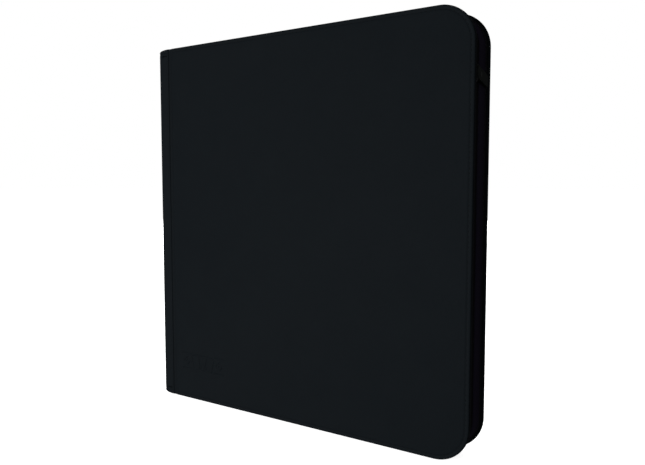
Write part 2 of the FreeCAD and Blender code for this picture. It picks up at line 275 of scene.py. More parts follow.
def mount_piece(piece: bpy.types.Object, body: str, slot: str, *replaced: str) -> bpy.types.Object:
    """Put a rigid piece on its body and hide the frame nodes that it stands for.

    Args:
        piece: The finished piece.
        body: The body that carries it.
        slot: Not used.
        *replaced: Frame nodes that it stands for.

    Returns:
        The same piece.
    """
    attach(piece, body)
    if replaced:
        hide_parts(*replaced)
    report(piece, body)
    return piece


# ------------------------------------------------------------------------------ finishes


class NodeBoard:
    """Short way to lay out shader nodes on one material."""

    def __init__(self, name: str) -> None:
        """Make an empty node material with a shader and coordinates in millimetres."""
        self.mat = bpy.data.materials.new(name)
        self.mat.use_nodes = True
        self.tree = self.mat.node_tree
        self.tree.nodes.clear()
        self.out = self.tree.nodes.new("ShaderNodeOutputMaterial")
        self.shader = self.tree.nodes.new("ShaderNodeBsdfPrincipled")
        self.tree.links.new(self.shader.outputs[0], self.out.inputs[0])
        coords = self.tree.nodes.new("ShaderNodeTexCoord")
        self.mm = self.add("ShaderNodeVectorMath", operation="SCALE",
                           Vector=coords.outputs["Object"], Scale=1 / MM)

    def add(self, kind: str, output: int | str = 0, **settings: object) -> bpy.types.NodeSocket:
        """Add a node; sockets are set or linked by name, other words are node settings.

        Args:
            kind: Blender's node type.
            output: Which output to return.
            **settings: Node attributes in lower case, input sockets by name.

        Returns:
            The chosen output socket.
        """
        node = self.tree.nodes.new(kind)
        for key, value in settings.items():
            if key[0].islower():
                setattr(node, key, value)
        for key, value in settings.items():
            if not key[0].islower():
                self.feed(node.inputs[int(key[1:]) if key[0] == "I" and key[1:].isdigit() else key], value)
        return node.outputs[output]

    def feed(self, socket: bpy.types.NodeSocket, value: object) -> None:
        """Link an output to a socket, or set the socket's own value."""
        if isinstance(value, bpy.types.NodeSocket):
            self.tree.links.new(value, socket)
        else:
            socket.default_value = value

    def math(self, operation: str, first: object, second: object = 0.0,
             clamp: bool = False) -> bpy.types.NodeSocket:
        """Scalar arithmetic node."""
        return self.add("ShaderNodeMath", operation=operation, use_clamp=clamp, I0=first, I1=second)

    def mix(self, factor: object, first: tuple, second: tuple) -> bpy.types.NodeSocket:
        """Mix two linear colours by a factor."""
        node = self.tree.nodes.new("ShaderNodeMix")
        node.data_type = "RGBA"
        self.feed(node.inputs[0], factor)
        self.feed(node.inputs[6], first if isinstance(first, bpy.types.NodeSocket) else (*first, 1.0))
        self.feed(node.inputs[7], second if isinstance(second, bpy.types.NodeSocket) else (*second, 1.0))
        return node.outputs[2]

    def noise(self, per_mm: float, detail: float = 3.0, rough: float = 0.55) -> bpy.types.NodeSocket:
        """Soft noise with its scale in features per millimetre."""
        return self.add("ShaderNodeTexNoise", Vector=self.mm, Scale=per_mm, Detail=detail, Roughness=rough)

    def span(self, value: object, low: float, high: float, to_low: float,
             to_high: float) -> bpy.types.NodeSocket:
        """Map a value from one range to another, clamped."""
        return self.add("ShaderNodeMapRange", I0=value, I1=low, I2=high, I3=to_low, I4=to_high)

    def bump(self, height: object, depth_mm: float, strength: float = 1.0) -> None:
        """Drive the shader's normal from a height in units of depth_mm."""
        normal = self.add("ShaderNodeBump", Height=height, Distance=depth_mm * MM, Strength=strength)
        self.feed(self.shader.inputs["Normal"], normal)

    def set(self, **sockets: object) -> None:
        """Set or link shader sockets; underscores stand for spaces."""
        for key, value in sockets.items():
            self.feed(self.shader.inputs[key.replace("_", " ")], value)


@dataclass(frozen=True)
class Finish:
    """Base of every finish: a named, procedural material made once."""

    name: str

    def material(self) -> bpy.types.Material:
        """The finish's material, made on first use."""
        found = bpy.data.materials.get(self.name)
        if found:
            return found
        board = NodeBoard(self.name)
        self.lay_out(board)
        return board.mat

    def lay_out(self, board: NodeBoard) -> None:
        """Fill the node board; each finish has its own."""
        raise NotImplementedError


@dataclass(frozen=True)
class GrainedLeather(Finish):
    """Matt imitation leather: fine pebbled grain, faint mottling and rubbed high spots."""

    dark: Point3 = (0.0024, 0.0033, 0.0042)
    light: Point3 = (0.0034, 0.0045, 0.0054)
    grain_per_mm: float = 1.15
    grain_depth: float = 0.055
    specular: float = 0.008

    def lay_out(self, board: NodeBoard) -> None:
        """Two sizes of pebble cells over slow mottling."""
        cells = board.add("ShaderNodeTexVoronoi", feature="SMOOTH_F1", Vector=board.mm,
                          Scale=self.grain_per_mm, Smoothness=0.35)
        creases = board.add("ShaderNodeTexVoronoi", feature="DISTANCE_TO_EDGE", Vector=board.mm,
                            Scale=self.grain_per_mm * 0.62)
        fine = board.noise(3.4)
        mottle = board.noise(0.035, 4.0)
        crease = board.span(creases, 0.0, 0.16, 0.0, 1.0)
        pebble = board.math("MULTIPLY", crease, board.math("SUBTRACT", 1.15, cells))
        height = board.math("ADD", pebble, board.math("MULTIPLY", fine, 0.35))
        slow_part = board.math("MULTIPLY", mottle, 0.6)
        tone = board.math("ADD", slow_part, board.math("MULTIPLY", pebble, 0.4), True)
        board.set(Base_Color=board.mix(tone, self.dark, self.light),
                  Roughness=board.span(pebble, 0.0, 1.2, 0.62, 0.5),
                  Specular_IOR_Level=self.specular)
        board.bump(height, self.grain_depth, 0.55)


@dataclass(frozen=True)
class Woven(Finish):
    """Plain weave cloth in two threads."""

    warp: Point3 = (0.005, 0.005, 0.006)
    weft: Point3 = (0.010, 0.010, 0.012)
    threads_per_mm: float = 2.2
    depth: float = 0.09
    specular: float = 0.02

    def lay_out(self, board: NodeBoard) -> None:
        """Crossed thread waves whose over and under swap in a checker."""
        turn = 2 * math.pi * self.threads_per_mm
        axes = board.tree.nodes.new("ShaderNodeSeparateXYZ")
        board.feed(axes.inputs[0], board.mm)
        x_y = board.math("ADD", axes.outputs[0], axes.outputs[1])
        across = board.math("SINE", board.math("MULTIPLY", x_y, turn / 2))
        along = board.math("SINE", board.math("MULTIPLY", axes.outputs[2], turn / 2))
        swap = board.math("GREATER_THAN", board.math("MULTIPLY", across, along), 0.0)
        first = board.math("ABSOLUTE", across)
        second = board.math("ABSOLUTE", along)
        over = board.math("MULTIPLY", first, swap)
        under = board.math("MULTIPLY", second, board.math("SUBTRACT", 1.0, swap))
        height = board.math("ADD", over, under)
        fuzz = board.noise(6.0)
        fade = board.math("ADD", board.math("MULTIPLY", height, 0.7), board.math("MULTIPLY", fuzz, 0.5), True)
        board.set(Base_Color=board.mix(fade, self.warp, self.weft), Roughness=0.8,
                  Specular_IOR_Level=self.specular)
        board.bump(board.math("ADD", height, board.math("MULTIPLY", fuzz, 0.3)), self.depth, 0.6)


@dataclass(frozen=True)
class Thread(Finish):
    """Twisted sewing thread."""

    dark: Point3 = (0.0020, 0.0026, 0.0032)
    light: Point3 = (0.0034, 0.0042, 0.0048)

    def lay_out(self, board: NodeBoard) -> None:
        """Diagonal strand bands with fuzz."""
        bands = board.add("ShaderNodeTexWave", Vector=board.mm, bands_direction="DIAGONAL",
                          Scale=1.1, Distortion=0.6, Detail=1.0)
        fuzz = board.noise(9.0)
        tone = board.math("MULTIPLY", bands, board.span(fuzz, 0.2, 0.8, 0.6, 1.1), True)
        board.set(Base_Color=board.mix(tone, self.dark, self.light), Roughness=0.75, Specular_IOR_Level=0.04)
        board.bump(bands, 0.08, 0.7)


@dataclass(frozen=True)
class Moulded(Finish):
    """Moulded or extruded plastic with a fine spark-eroded texture."""

    base: Point3 = (0.006, 0.006, 0.007)
    rough: float = 0.42
    specular: float = 0.3

    def lay_out(self, board: NodeBoard) -> None:
        """Fine pits and slow tone change."""
        pits = board.noise(5.5, 2.0)
        slow = board.noise(0.08, 3.0)
        lift = tuple(c * 1.5 for c in self.base)
        board.set(Base_Color=board.mix(slow, self.base, lift),
                  Roughness=board.span(slow, 0.3, 0.7, self.rough - 0.06, self.rough + 0.08),
                  Specular_IOR_Level=self.specular)
        board.bump(pits, 0.03, 0.5)


@dataclass(frozen=True)
class EnamelledMetal(Finish):
    """Dark stoved enamel over die-cast metal, rubbed brighter in places."""

    base: Point3 = (0.0080, 0.0086, 0.0092)
    rubbed: Point3 = (0.026, 0.027, 0.028)
    rough: float = 0.42

    def lay_out(self, board: NodeBoard) -> None:
        """Orange-peel bump with small rubbed patches."""
        peel = board.noise(2.6, 2.0)
        patch = board.span(board.noise(0.7, 5.0), 0.66, 0.8, 0.0, 1.0)
        board.set(Base_Color=board.mix(patch, self.base, self.rubbed),
                  Roughness=board.span(patch, 0.0, 1.0, self.rough, self.rough - 0.08),
                  Specular_IOR_Level=0.12)
        board.bump(peel, 0.03, 0.4)


@dataclass(frozen=True)
class PressedBoard(Finish):
    """Grey pressed board with fibres."""

    def lay_out(self, board: NodeBoard) -> None:
        """Fibre noise in two greys."""
        fibres = board.noise(1.6, 6.0, 0.7)
        board.set(Base_Color=board.mix(fibres, (0.10, 0.095, 0.088), (0.26, 0.25, 0.235)), Roughness=0.92,
                  Specular_IOR_Level=0.2)
        board.bump(fibres, 0.12, 0.6)


@dataclass(frozen=True)
class LeafFilm(Finish):
    """Clear film pressed over a black core sheet: soft gloss with faint ripples."""

    core: Point3 = (0.008, 0.008, 0.009)
    haze: Point3 = (0.020, 0.020, 0.023)
    rough: float = 0.2
    coat: float = 0.35

    def lay_out(self, board: NodeBoard) -> None:
        """Slow ripples and haze."""
        ripple = board.noise(0.03, 1.0)
        haze = board.span(board.noise(0.022, 2.0, 0.5), 0.3, 0.75, 0.0, 1.0)
        board.set(Base_Color=board.mix(haze, self.core, self.haze),
                  Roughness=board.span(haze, 0.0, 1.0, self.rough, self.rough + 0.16),
                  Specular_IOR_Level=0.4, Coat_Weight=self.coat, Coat_Roughness=0.12)
        board.bump(ripple, 1.2, 0.25)


@dataclass(frozen=True)
class StudioFloor(Finish):
    """Pale matt studio floor, lit from beneath like a light table."""

    tone: float = 0.9
    glow: float = 0.85

    def lay_out(self, board: NodeBoard) -> None:
        """Almost white with a trace of unevenness."""
        slow = board.noise(0.004, 2.0)
        low = (self.tone,) * 3
        high = (min(1.0, self.tone * 1.03),) * 3
        board.set(Base_Color=board.mix(slow, low, high), Roughness=0.9, Specular_IOR_Level=0.0,
                  Emission_Color=(1.0, 1.0, 1.0, 1.0), Emission_Strength=self.glow)


COVER_LEATHER = GrainedLeather("cover leather")
# The cover leather made about eight percent darker for the hinge groove strips: painted shade in the groove.
GROOVE_SHADED_LEATHER = GrainedLeather("groove shaded leather", dark=(0.0022, 0.0031, 0.0039), light=(0.0031, 0.0041, 0.0050))
PULL_LEATHER = GrainedLeather("pull leather", dark=(0.0064, 0.0074, 0.0072), light=(0.0088, 0.0100, 0.0098),
                              grain_per_mm=1.9, grain_depth=0.03)
LINING_CLOTH = Woven("lining cloth", threads_per_mm=3.0, depth=0.06)
WALL_WEAVE = Woven("wall weave", warp=(0.0036, 0.0028, 0.0056), weft=(0.0088, 0.0072, 0.0134),
                   threads_per_mm=1.6)
SEAM_TAPE = Woven("seam tape", warp=(0.0060, 0.0052, 0.0078), weft=(0.0140, 0.0124, 0.0172),
                  threads_per_mm=2.4)
ZIP_TAPE = Woven("zip tape", warp=(0.0012, 0.0012, 0.0016), weft=(0.0034, 0.0032, 0.0042), threads_per_mm=2.4)
SEWING_THREAD = Thread("sewing thread")
COIL_NYLON = Moulded("coil nylon", base=(0.0080, 0.0080, 0.0092), rough=0.35, specular=0.2)
COMB_PLASTIC = Moulded("comb plastic")
SLIDER_ENAMEL = EnamelledMetal("slider enamel")
RIVET_ENAMEL = EnamelledMetal("rivet enamel", base=(0.0040, 0.0044, 0.0046), rubbed=(0.0070, 0.0074, 0.0076),
                              rough=0.7)
GREY_BOARD = PressedBoard("grey board")
POCKET_FILM = LeafFilm("pocket film")
CORE_SHEET = LeafFilm("core sheet", core=(0.006, 0.006, 0.007), haze=(0.012, 0.012, 0.014),
                      rough=0.34, coat=0.1)


# ------------------------------------------------------------------------------ covered panels


@dataclass(frozen=True)
class PanelOutline:
    """Rounded rectangle in panel coordinates: u across, v up."""

    u0: float
    u1: float
    v0: float
    v1: float
    hinge_r: float
    open_r: float
    hinge_both: bool
    line_step: float = 9.0
    arc_steps: int = 22

    def inset_u(self, inset: float) -> float:
        """Inset used along a hinge edge, where the rings crowd up and the stitch line runs out."""
        crowd = 1.9
        return inset if inset <= crowd else crowd + 0.06 * (inset - crowd)

    def corner(self, u_side: int, v_side: int, inset: float) -> list[Point2]:
        """Arc of one corner.

        Args:
            u_side: -1 at u0, +1 at u1.
            v_side: -1 at v0, +1 at v1.
            inset: Distance inside the outline.

        Returns:
            Points in the order in which the outline is walked.
        """
        hinge = self.hinge_both or u_side < 0
        radius = self.hinge_r if hinge else self.open_r
        left = max(radius - inset, 0.0)
        edge_u = self.inset_u(inset) if hinge else inset
        centre_u = (self.u1 - edge_u - left) if u_side > 0 else (self.u0 + edge_u + left)
        centre_v = (self.v1 - inset - left) if v_side > 0 else (self.v0 + inset + left)
        start = {(1, -1): -90, (1, 1): 0, (-1, 1): 90, (-1, -1): 180}[(u_side, v_side)]
        angles = [math.radians(start + 90 * k / self.arc_steps) for k in range(self.arc_steps + 1)]
        return [(centre_u + left * math.cos(a), centre_v + left * math.sin(a)) for a in angles]

    def ring(self, inset: float) -> tuple[list[Point2], list[bool], dict[str, slice]]:
        """Walk the outline once.

        Args:
            inset: Distance inside the outline.

        Returns:
            Points, whether each lies on a hinge edge, and where each straight run is.
        """
        corners = [self.corner(1, -1, inset), self.corner(1, 1, inset),
                   self.corner(-1, 1, inset), self.corner(-1, -1, inset)]
        points: list[Point2] = []
        hinge: list[bool] = []
        runs: dict[str, slice] = {}
        along_u = max(2, round((self.u1 - self.u0) / self.line_step))
        along_v = max(2, round((self.v1 - self.v0) / self.line_step))
        names = ("low", "open", "high", "hinge")
        for index, name in enumerate(names):
            start, end = corners[index - 1][-1], corners[index][0]
            count = along_u if name in ("low", "high") else along_v
            is_hinge = name == "hinge" or (name == "open" and self.hinge_both)
            begin = len(points)
            for k in range(1, count):
                t = k / count
                points.append((start[0] + (end[0] - start[0]) * t, start[1] + (end[1] - start[1]) * t))
                hinge.append(is_hinge)
            runs[name] = slice(begin, len(points))
            points.extend(corners[index])
            hinge.extend([False] * len(corners[index]))
        return points, hinge, runs


@dataclass(frozen=True)
class RimProfile:
    """Section of a covered panel's rim, in millimetres: skin, turned-in lip and stitch channel."""

    skin_t: float = 1.0
    lip_w: float = 2.0
    lining_t: float = 0.8
    panel_t: float = 4.0
    stitch_inset: float = 3.3
    channel_w: float = 1.7
    channel_depth: float = 0.26
    crown: float = 0.16
    fill_inset: float = 12.0

    def rings(self) -> list[tuple[float, float]]:
        """Pairs of inset and depth, from the board pocket round the rim to the outer face."""
        under = self.panel_t - self.lining_t
        t = self.panel_t
        section = [(self.skin_t, self.skin_t), (self.skin_t, under), (self.lip_w, under), (self.lip_w, t)]
        section += [(1.3, t), (0.75, t - 0.07), (0.32, t - 0.28), (0.07, t - 0.65), (0.0, t - 1.1)]
        section += [(0.0, 1.4), (0.05, 0.92), (0.19, 0.54), (0.42, 0.26), (0.72, 0.09), (1.1, 0.01)]
        section.append((1.7, -0.02))
        return section + [(inset, self.face_depth(inset)) for inset in self.face_insets()]

    def face_insets(self) -> list[float]:
        """Where the outer face has rings, close together at the stitch channel."""
        half = self.channel_w / 2
        s = self.stitch_inset
        return [s - half - 0.15, s - half * 0.7, s - half * 0.35, s, s + half * 0.35, s + half * 0.7,
                s + half + 0.15, s + half + 1.2, s + half + 3.0, self.fill_inset]

    def face_depth(self, inset: float) -> float:
        """Depth of the outer face below the panel's nominal plane: crowned, with the stitch channel."""
        off = abs(inset - self.stitch_inset) / (self.channel_w / 2)
        channel = self.channel_depth * (1 - smooth_step(0.1, 1.1, off))
        return channel - self.crown * smooth_step(self.stitch_inset, self.fill_inset, inset) - 0.02


@dataclass(frozen=True)
class StitchRow:
    """Machine stitches laid in a channel."""

    pitch: float = 3.9
    length: float = 3.05
    radius: float = 0.27
    sides: int = 6
    stations: int = 7

    def sew(self, maker: MeshMaker, line: Callable[[float], Point2], total: float, depth: float,
            place: Placement) -> None:
        """Add one row of stitches.

        Args:
            maker: Mesh that collects the thread.
            line: Gives the panel point at a distance along the row.
            total: Length of the row.
            depth: Depth of the channel floor.
            place: Maps panel coordinates and depth to the frame.
        """
        count = int(total // self.pitch)
        spare = (total - count * self.pitch) / 2
        for index in range(count):
            start = spare + index * self.pitch + (self.pitch - self.length) / 2
            self.stitch(maker, line, start, depth, place)

    def stitch(self, maker: MeshMaker, line: Callable[[float], Point2], start: float, depth: float,
               place: Placement) -> None:
        """Add one stitch that dips into the leather at both ends."""
        rings = []
        for k in range(self.stations):
            t = k / (self.stations - 1)
            bow = math.sin(math.pi * t)
            u, v = line(start + self.length * t)
            u2, v2 = line(start + self.length * t + 0.05)
            size = math.hypot(u2 - u, v2 - v) or 1.0
            side_u, side_v = -(v2 - v) / size, (u2 - u) / size
            radius = self.radius * (0.35 + 0.65 * bow ** 0.5)
            ring = []
            for j in range(self.sides):
                angle = 2 * math.pi * j / self.sides
                across = radius * 1.1 * math.cos(angle)
                sunk = depth + 0.42 * (1 - bow) - 0.1 - radius * math.sin(angle) * 0.85
                ring.append(place(u + side_u * across, v + side_v * across, sunk))
            rings.append(ring)
        maker.loft(rings)


@dataclass(frozen=True)
class Emblem:
    """Blind-pressed device of plain cards and lozenges between two rules, in panel coordinates."""

    u: float
    v: float
    width: float = 60.0
    height: float = 22.0
    step: float = 0.4
    line_w: float = 0.7
    depth: float = 0.34

    def box_distance(self, x: float, y: float, half_w: float, half_h: float, radius: float) -> float:
        """Signed distance to a rounded rectangle about the origin."""
        dx, dy = abs(x) - half_w + radius, abs(y) - half_h + radius
        return math.hypot(max(dx, 0.0), max(dy, 0.0)) + min(max(dx, dy), 0.0) - radius

    def pressed(self, x: float, y: float) -> float:
        """Depth pressed into the leather at a place measured from the emblem's centre."""
        best = 9.0
        for shift, lean in ((-8.6, 0.28), (8.6, -0.28), (0.0, 0.0)):
            c, s = math.cos(lean), math.sin(lean)
            px, py = x - shift, y
            near = abs(self.box_distance(px * c + py * s, py * c - px * s, 4.7, 7.2, 1.1))
            best = min(best, near)
        for side in (-1, 1):
            px = x - side * 21.5
            best = min(best, abs(abs(px) + abs(y) * 1.1 - 4.4) * 0.72)
            best = min(best, self.box_distance(px, abs(y) - 7.6, 5.6, self.line_w / 3, 0.1))
            best = min(best, math.hypot(px, y) - 0.55)
        return self.depth * (1 - smooth_step(self.line_w * 0.45, self.line_w * 1.25, best))


class CoveredPanel:
    """Board wrapped in leather: closed skin with pocket, turned-in lip, rim, stitch channel and face."""

    def __init__(self, outline: PanelOutline, rim: RimProfile, place: Placement) -> None:
        """Keep the panel's outline, rim section and placement in the frame."""
        self.outline = outline
        self.rim = rim
        self.place = place

    def skin(self, name: str, finish: Finish, cap: Cap, emblem: Emblem | None = None) -> bpy.types.Object:
        """Build the leather.

        Args:
            name: Name of the piece.
            finish: The leather.
            cap: How the outer face is closed.
            emblem: The pressed device, for Cap.EMBLEM.

        Returns:
            The finished piece.
        """
        maker = MeshMaker()
        rings: list[list[int]] = []
        flat: list[Point2] = []
        runs: dict[str, slice] = {}
        for inset, depth in self.rim.rings():
            flat, hinge, runs = self.outline.ring(inset)
            plain = depth if inset <= 1.75 or depth > 0.5 else -0.02 - self.rim.crown * smooth_step(
                self.rim.stitch_inset, self.rim.fill_inset, inset)
            made = [self.place(u, v, plain if on_hinge else depth)
                    for (u, v), on_hinge in zip(flat, hinge)]
            rings.append(maker.add(made))
        for first, second in zip(rings, rings[1:]):
            maker.bridge(first, second)
        pocket_runs = self.outline.ring(self.rim.skin_t)[2]
        self.strips(maker, rings[0], pocket_runs)
        if cap is Cap.EMBLEM and emblem is not None:
            self.emblem_face(maker, rings[-1], flat, emblem)
        else:
            self.strips(maker, rings[-1], runs)
        return maker.piece(name, finish)

    def strips(self, maker: MeshMaker, ring: list[int], runs: dict[str, slice]) -> None:
        """Close a ring with upright strips that can follow a bend."""
        bottom = ring[runs["hinge"].stop:] + ring[:runs["open"].start]
        top = list(reversed(ring[runs["open"].stop:runs["hinge"].start]))
        hinge_side, open_side = ring[runs["hinge"]], ring[runs["open"]]
        maker.faces.append((top[0], *hinge_side, bottom[0], bottom[1], top[1]))
        for i in range(1, len(bottom) - 2):
            maker.faces.append((bottom[i], bottom[i + 1], top[i + 1], top[i]))
        maker.faces.append((bottom[-2], bottom[-1], *open_side, top[-1], top[-2]))

    def emblem_face(self, maker: MeshMaker, ring: list[int], flat: list[Point2], emblem: Emblem) -> None:
        """Close a ring round a fine patch that carries the pressed emblem."""
        columns = round(emblem.width / emblem.step)
        rows = round(emblem.height / emblem.step)
        depth = self.rim.face_depth(self.rim.fill_inset)
        grid: list[list[int]] = []
        spots: list[list[Point2]] = []
        for row in range(rows + 1):
            y = (row / rows - 0.5) * emblem.height
            xs = [(column / columns - 0.5) * emblem.width for column in range(columns + 1)]
            spots.append([(emblem.u + x, emblem.v + y) for x in xs])
            grid.append(maker.add([self.place(u, v, depth + emblem.pressed(x, y))
                                   for x, (u, v) in zip(xs, spots[-1])]))
        for lower, upper in zip(grid, grid[1:]):
            maker.bridge(lower, upper, closed=False)
        edge = grid[0] + [row[-1] for row in grid[1:]] + grid[-1][-2::-1] + [row[0] for row in grid[-2:0:-1]]
        edge_flat = (spots[0] + [row[-1] for row in spots[1:]] + spots[-1][-2::-1]
                     + [row[0] for row in spots[-2:0:-1]])
        indices = ring + edge
        places = [Vector(p) for p in flat + edge_flat]
        loops = [(i, (i + 1) % len(ring)) for i in range(len(ring))]
        loops += [(len(ring) + i, len(ring) + (i + 1) % len(edge)) for i in range(len(edge))]
        made = delaunay_2d_cdt(places, loops, [], 1, 1e-5)
        half_w, half_h = emblem.width / 2, emblem.height / 2
        for face in made[2]:
            middle = sum((made[0][i] for i in face), Vector((0.0, 0.0))) / len(face)
            if abs(middle.x - emblem.u) < half_w and abs(middle.y - emblem.v) < half_h:
                continue
            maker.faces.append(tuple(indices[made[3][i][0]] for i in face))


# ------------------------------------------------------------------------------ covers and spine


@dataclass
class Cover:
    """One cover: leather, stitching, and the frame's own board and lining."""

    sizes: BinderSizes
    side: Side
    rim: RimProfile = RimProfile()
    stitches: StitchRow = StitchRow()
    stitch_start: float = 1.0
    emblem_u: float = 37.5
    emblem_v: float = 38.0

    def place(self, u: float, v: float, depth: float) -> Point3:
        """Panel coordinates to the frame; u is measured from the hinge edge."""
        sizes = self.sizes
        y = self.side.value * (sizes.y_back - depth)
        return (sizes.x_cover + u, y, v)

    def outline(self) -> PanelOutline:
        """Outline of the cover in panel coordinates."""
        sizes = self.sizes
        return PanelOutline(u0=0.0, u1=sizes.x_open - sizes.x_cover, v0=0.0, v1=sizes.height,
                            hinge_r=1.0, open_r=sizes.corner_r, hinge_both=False)

    def build(self) -> None:
        """Make and mount the cover's pieces."""
        panel = CoveredPanel(self.outline(), self.rim, self.place)
        if self.side is Side.FRONT:
            emblem = Emblem(self.emblem_u, self.emblem_v)
            skin = panel.skin("front_cover_leather", COVER_LEATHER, Cap.EMBLEM, emblem)
        else:
            skin = panel.skin("back_cover_leather", COVER_LEATHER, Cap.STRIPS)
        word = self.side.word
        mount_piece(skin, self.side.body, "cover_leather", f"{word}_skin")
        mount_piece(self.stitching(), self.side.body, "cover_leather")
        dress_node(f"{word}_board", GREY_BOARD)
        dress_node(f"{word}_lining", LINING_CLOTH)

    def stitching(self) -> bpy.types.Object:
        """Thread along the lower, opening and upper edges."""
        sizes, inset = self.sizes, self.rim.stitch_inset
        run = OpeningRun(sizes.x_cover + self.stitch_start, sizes.x_open, sizes.height, sizes.corner_r, inset)

        def line(s: float) -> Point2:
            """Point on the stitch line at a distance from its lower hinge end."""
            x, _, z = run.at(s, inset, 0.0)
            return (x - sizes.x_cover, z)

        maker = MeshMaker()
        self.stitches.sew(maker, line, run.total, self.rim.face_depth(inset), self.place)
        return maker.piece(f"{self.side.word}_cover_stitching", SEWING_THREAD, 80.0)


@dataclass
class Spine:
    """Spine block: leather bent round the leaf edges, with its stitching."""

    sizes: BinderSizes
    rim: RimProfile = RimProfile(crown=0.05, fill_inset=6.5)
    stitches: StitchRow = StitchRow()
    draw_in: float = 2.0
    draw_reach: float = 13.0

    @property
    def flat_w(self) -> float:
        """Width of the leather laid flat."""
        return 2 * (self.wing + self.bend) + self.back

    @property
    def wing(self) -> float:
        """Straight part of one shoulder."""
        return self.sizes.x_shoulder - self.sizes.x_spine - self.sizes.spine_r

    @property
    def bend(self) -> float:
        """Length of the bend from shoulder to spine face."""
        return math.pi / 2 * self.sizes.spine_r

    @property
    def back(self) -> float:
        """Straight part of the spine face."""
        return self.sizes.y_back - self.sizes.y_front - 2 * self.sizes.spine_r

    def place(self, u: float, v: float, depth: float) -> Point3:
        """Wrap the flat leather from the front shoulder round to the back shoulder."""
        sizes = self.sizes
        v = self.drawn(u, v)
        middle = self.flat_w / 2
        side = -1.0 if u < middle else 1.0
        far = abs(u - middle)
        radius = sizes.spine_r
        if far <= self.back / 2:
            return (sizes.x_spine + depth, side * far, v)
        far -= self.back / 2
        if far <= self.bend:
            angle = far / radius
            reach = radius - depth
            return (sizes.x_spine + radius - reach * math.cos(angle),
                    side * (self.back / 2 + reach * math.sin(angle)), v)
        far -= self.bend
        return (sizes.x_spine + radius + far, side * (sizes.y_back - depth), v)

    def drawn(self, u: float, v: float) -> float:
        """Height after the leather's ends are drawn in at the bends, as its turn-in pulls it."""
        from_edge = min(u, self.flat_w - u)
        pull = self.draw_in * smooth_step(self.wing * 0.3, self.wing + self.bend, from_edge)
        low, high = v, self.sizes.height - v
        if low < high:
            return v + pull * max(0.0, 1 - low / self.draw_reach) ** 2
        return v - pull * max(0.0, 1 - high / self.draw_reach) ** 2

    def build(self) -> None:
        """Make and mount the spine's pieces."""
        outline = PanelOutline(u0=0.0, u1=self.flat_w, v0=0.0, v1=self.sizes.height, hinge_r=1.0, open_r=1.0,
                               hinge_both=True, line_step=0.85, arc_steps=6)
        panel = CoveredPanel(outline, self.rim, self.place)
        skin = panel.skin("spine_leather", COVER_LEATHER, Cap.STRIPS)
        mount_piece(skin, "spine", "cover_leather", "spine_skin")
        maker = MeshMaker()
        inset = self.rim.stitch_inset
        for v in (inset, self.sizes.height - inset):
            self.stitches.sew(maker, lambda s, v=v: (1.0 + s, v), self.flat_w - 2.0,
                              self.rim.face_depth(inset), self.place)
        mount_piece(maker.piece("spine_stitching", SEWING_THREAD, 80.0), "spine", "cover_leather")
        dress_node("spine_board", GREY_BOARD)
        dress_node("spine_lining", LINING_CLOTH)


@dataclass
class HingeGroove:
    """Leather at the bottom of a hinge groove."""

    sizes: BinderSizes
    side: Side
    steps: int = 12
    rows: int = 24
    sag: float = 0.45
    tuck: float = 0.5
    end_gap: float = 0.25

    def build(self) -> None:
        """Make the strip in place of the frame's hinge strip."""
        word = self.side.word
        low, high = node_box(f"{word}_hinge_strip")
        outer, inner = (low.y, high.y) if self.side is Side.FRONT else (high.y, low.y)
        lift = self.side.value * self.sag
        x0, x1 = low.x - self.tuck, self.sizes.x_cover + self.tuck
        section: list[Point2] = []
        for k in range(self.steps + 1):
            t = k / self.steps
            section.append((x0 + (x1 - x0) * t, outer + lift * (2 * t - 1) ** 2))
        section += [(x, inner) for x, _ in reversed(section)]
        maker = MeshMaker()
        rings = []
        for row in range(self.rows + 1):
            z = self.sizes.height * row / self.rows
            z = min(max(z, self.end_gap), self.sizes.height - self.end_gap)
            rings.append([(x, y, z) for x, y in section])
        maker.loft(rings)
        # The strip takes the darker copy of the cover leather, painted shade at the bottom of the groove.
        strip = maker.piece(f"{word}_hinge_leather", GROOVE_SHADED_LEATHER)
        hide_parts(f"{word}_hinge_strip")
        self.side.body
        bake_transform(strip)
        report(strip, "hinge")


def dress_node(node: str, finish: Finish) -> None:
    """Give a frame node its finish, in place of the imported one."""
    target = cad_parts[node]
    target.data.materials.clear()
    target.data.materials.append(finish.material())
    for polygon in target.data.polygons:
        polygon.material_index = 0
    LOG.info("%-26s keeps its frame shape", node)


# ------------------------------------------------------------------------------ zip and side wall


@dataclass(frozen=True)
class OpeningRun:
    """Line round the lower edge, the opening side and the upper edge, by arc length."""

    x_start: float
    x_open: float
    height: float
    corner_r: float
    gauge: float

    @property
    def lengths(self) -> tuple[float, float, float, float, float]:
        """Lengths of the five stretches at the gauge recess."""
        straight = self.x_open - self.corner_r - self.x_start
        arc = math.pi / 2 * (self.corner_r - self.gauge)
        upright = self.height - 2 * self.corner_r
        return (straight, arc, upright, arc, straight)

    @property
    def total(self) -> float:
        """Whole length at the gauge recess."""
        return sum(self.lengths)

    def at(self, s: float, recess: float, y: float) -> Point3:
        """Point at a distance along the run.

        Args:
            s: Distance from the lower spine end, at the gauge recess.
            recess: Depth inside the covers' outline.
            y: Place between front and back.

        Returns:
            The point in the frame.
        """
        straight, arc, upright, _, _ = self.lengths
        x_arc = self.x_open - self.corner_r
        if s <= straight:
            return (self.x_start + s, y, recess)
        s -= straight
        if s <= arc:
            angle = s / (self.corner_r - self.gauge) - math.pi / 2
            reach = self.corner_r - recess
            return (x_arc + reach * math.cos(angle), y, self.corner_r + reach * math.sin(angle))
        s -= arc
        if s <= upright:
            return (self.x_open - recess, y, self.corner_r + s)
        s -= upright
        if s <= arc:
            angle = s / (self.corner_r - self.gauge)
            reach = self.corner_r - recess
            return (x_arc + reach * math.cos(angle), y, self.height - self.corner_r + reach * math.sin(angle))
        s -= arc
        return (x_arc - s, y, self.height - recess)

    def height_to_run(self, z: float) -> float:
        """Distance along the run at a height on the opening side."""
        straight, arc, _, _, _ = self.lengths
        return straight + arc + z - self.corner_r


